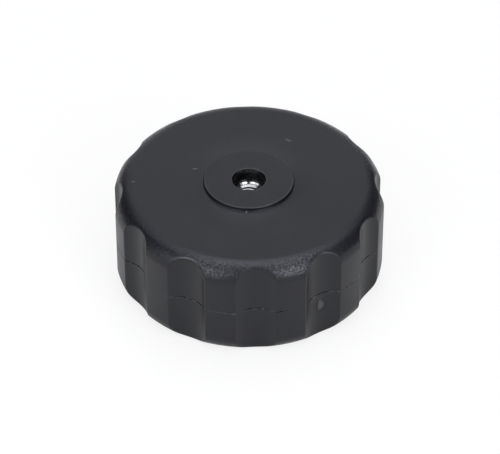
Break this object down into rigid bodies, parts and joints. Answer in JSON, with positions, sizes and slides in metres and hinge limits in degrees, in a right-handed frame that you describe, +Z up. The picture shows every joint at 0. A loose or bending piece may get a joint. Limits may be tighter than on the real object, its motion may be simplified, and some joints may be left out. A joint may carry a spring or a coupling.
{
  "type": "handwheel",
  "caption": "Black fluted plastic handwheel with a raised centre boss and a steel M8 thread for a spindle; its hollow body is closed at mid height.",
  "frame": {"origin": "centre of the flat underside that the wheel stands on", "axes": "+Z up along the spindle axis, out of the top boss; -Y through the middle of a grip flute"},
  "size_m": [0.079, 0.079, 0.0337],
  "materials": {
    "black_plastic": "spark-eroded mould texture, satin black",
    "zinc_plated_steel": "bright zinc plating"
  },
  "bodies": {
    "root": {"upper_shell": "black_plastic", "lower_shell": "black_plastic", "threaded_nut": "zinc_plated_steel"}
  },
  "joints": []
}
